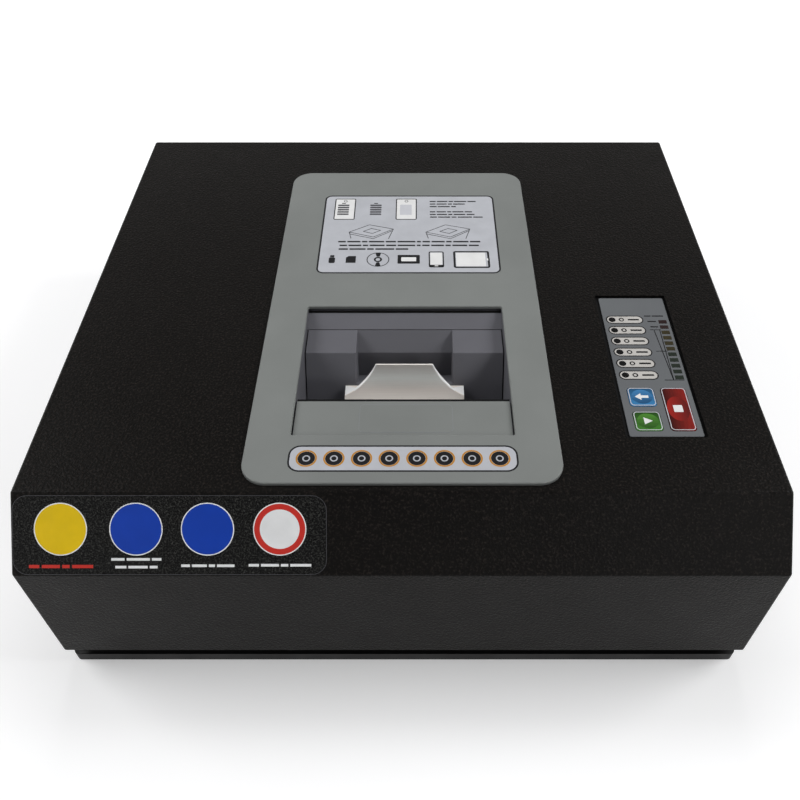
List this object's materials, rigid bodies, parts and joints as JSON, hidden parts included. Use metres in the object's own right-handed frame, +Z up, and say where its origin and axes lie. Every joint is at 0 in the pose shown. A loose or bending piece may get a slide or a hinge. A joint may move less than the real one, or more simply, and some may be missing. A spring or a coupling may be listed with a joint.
{
  "type": "flash media shredder",
  "caption": "Shredder head with a black sloped-front sheet hood, grey bezel, tilting feed lid with an aluminium handle, recessed control panel and a geared twin-shaft cutter block.",
  "frame": {"origin": "on the floor under the middle of the hood", "axes": "+X to the right of a person at the front, +Y to the back, +Z up"},
  "size_m": [0.504, 0.466, 0.1665],
  "materials": {
    "hood_paint": "black powder coat with a fine wrinkle",
    "pan_paint": "satin black paint",
    "bezel_grey": "fine matt grain",
    "lid_plastic": "matt moulded plastic, violet grey",
    "handle_aluminium": "milled and satin anodised",
    "zinc_sheet": "zinc plated sheet",
    "steel": "ground steel",
    "cutter_steel": "hardened steel, oiled",
    "screw_steel": "blackened steel",
    "motor_paint": "dark grey enamel",
    "capacitor_can": "drawn aluminium",
    "board_green": "solder mask",
    "black_plastic": "moulded black plastic",
    "overlay_grey": "printed film with a fine grain",
    "lens_black": "dark lens",
    "bar_lens": "dark tinted lens",
    "key_blue": "domed film key, blue",
    "key_green": "domed film key, green",
    "key_red": "domed film key, red"
  },
  "bodies": {
    "chassis": {"hood": "hood_paint", "hood_brackets": "zinc_sheet", "hood_screws": "screw_steel", "base_pan": "pan_paint", "discharge_collar": "zinc_sheet", "bezel": "bezel_grey", "sill_panel": "bezel_grey", "hopper_front_wall": "lid_plastic", "hopper_rear_wall": "lid_plastic", "hopper_right_cheek": "lid_plastic", "hopper_left_cheek": "lid_plastic", "hopper_screws": "screw_steel", "right_end_plate": "steel", "left_end_plate": "steel", "tie_rods": "steel", "shaft_bearings": "steel", "front_comb": "cutter_steel", "rear_comb": "cutter_steel", "gearbox_bracket": "zinc_sheet", "gearbox": "motor_paint", "motor": "motor_paint", "motor_cradle": "zinc_sheet", "run_capacitor": "capacitor_can", "control_tray": "black_plastic", "control_overlay": "overlay_grey", "status_lamps": "lens_black", "load_bar_lamps": "bar_lens", "control_board": "board_green", "board_standoffs": "zinc_sheet", "key_switches": "black_plastic", "power_board": "board_green", "power_board_standoffs": "zinc_sheet", "power_transformer": "motor_paint", "power_entry_plate": "zinc_sheet", "mains_inlet": "black_plastic", "power_switch_body": "black_plastic", "lid_interlock_switch": "black_plastic"},
    "feed_lid": {"lid_shell": "lid_plastic", "lid_handle": "handle_aluminium", "handle_screws": "screw_steel", "lid_pivot_pins": "steel", "safety_flap": "lid_plastic"},
    "rear_cutter": {"rear_shaft": "steel", "rear_cutters": "cutter_steel", "rear_spacers": "steel", "rear_sync_gear": "steel", "drive_gear": "steel"},
    "front_cutter": {"front_shaft": "steel", "front_cutters": "cutter_steel", "front_spacers": "steel", "front_sync_gear": "steel"},
    "motor_output": {"motor_shaft": "steel", "motor_pinion": "steel"},
    "reverse_key": {"reverse_key": "key_blue"},
    "start_key": {"start_key": "key_green"},
    "stop_key": {"stop_key": "key_red"},
    "power_rocker": {"power_rocker": "black_plastic"}
  },
  "joints": [
    {"name": "lid_hinge", "type": "hinge", "parent": "chassis", "child": "feed_lid", "pos_m": [0, -0.085, 0.116], "axis": [1, 0, 0], "range_deg": [0, 50]},
    {"name": "rear_cutter_spin", "type": "hinge", "parent": "chassis", "child": "rear_cutter", "pos_m": [0, -0.033, 0.048], "axis": [1, 0, 0], "continuous": true},
    {"name": "front_cutter_spin", "type": "hinge", "parent": "chassis", "child": "front_cutter", "pos_m": [0, -0.077, 0.048], "axis": [1, 0, 0], "continuous": true},
    {"name": "motor_spin", "type": "hinge", "parent": "chassis", "child": "motor_output", "pos_m": [0, 0.01123, 0.07897], "axis": [1, 0, 0], "continuous": true},
    {"name": "reverse_key_press", "type": "slide", "parent": "chassis", "child": "reverse_key", "axis": [0, 0, -1], "range_m": [0, 0.0008], "stiffness_N_per_m": 500},
    {"name": "start_key_press", "type": "slide", "parent": "chassis", "child": "start_key", "axis": [0, 0, -1], "range_m": [0, 0.0008], "stiffness_N_per_m": 500},
    {"name": "stop_key_press", "type": "slide", "parent": "chassis", "child": "stop_key", "axis": [0, 0, -1], "range_m": [0, 0.0008], "stiffness_N_per_m": 500},
    {"name": "power_rocker_tilt", "type": "hinge", "parent": "chassis", "child": "power_rocker", "pos_m": [0.185, 0.2225, 0.052], "axis": [1, 0, 0], "range_deg": [0, 20]}
  ],
  "couplings": [
    {"joint": "front_cutter_spin", "follows": "rear_cutter_spin", "ratio": -1},
    {"joint": "motor_spin", "follows": "rear_cutter_spin", "ratio": -2}
  ]
}
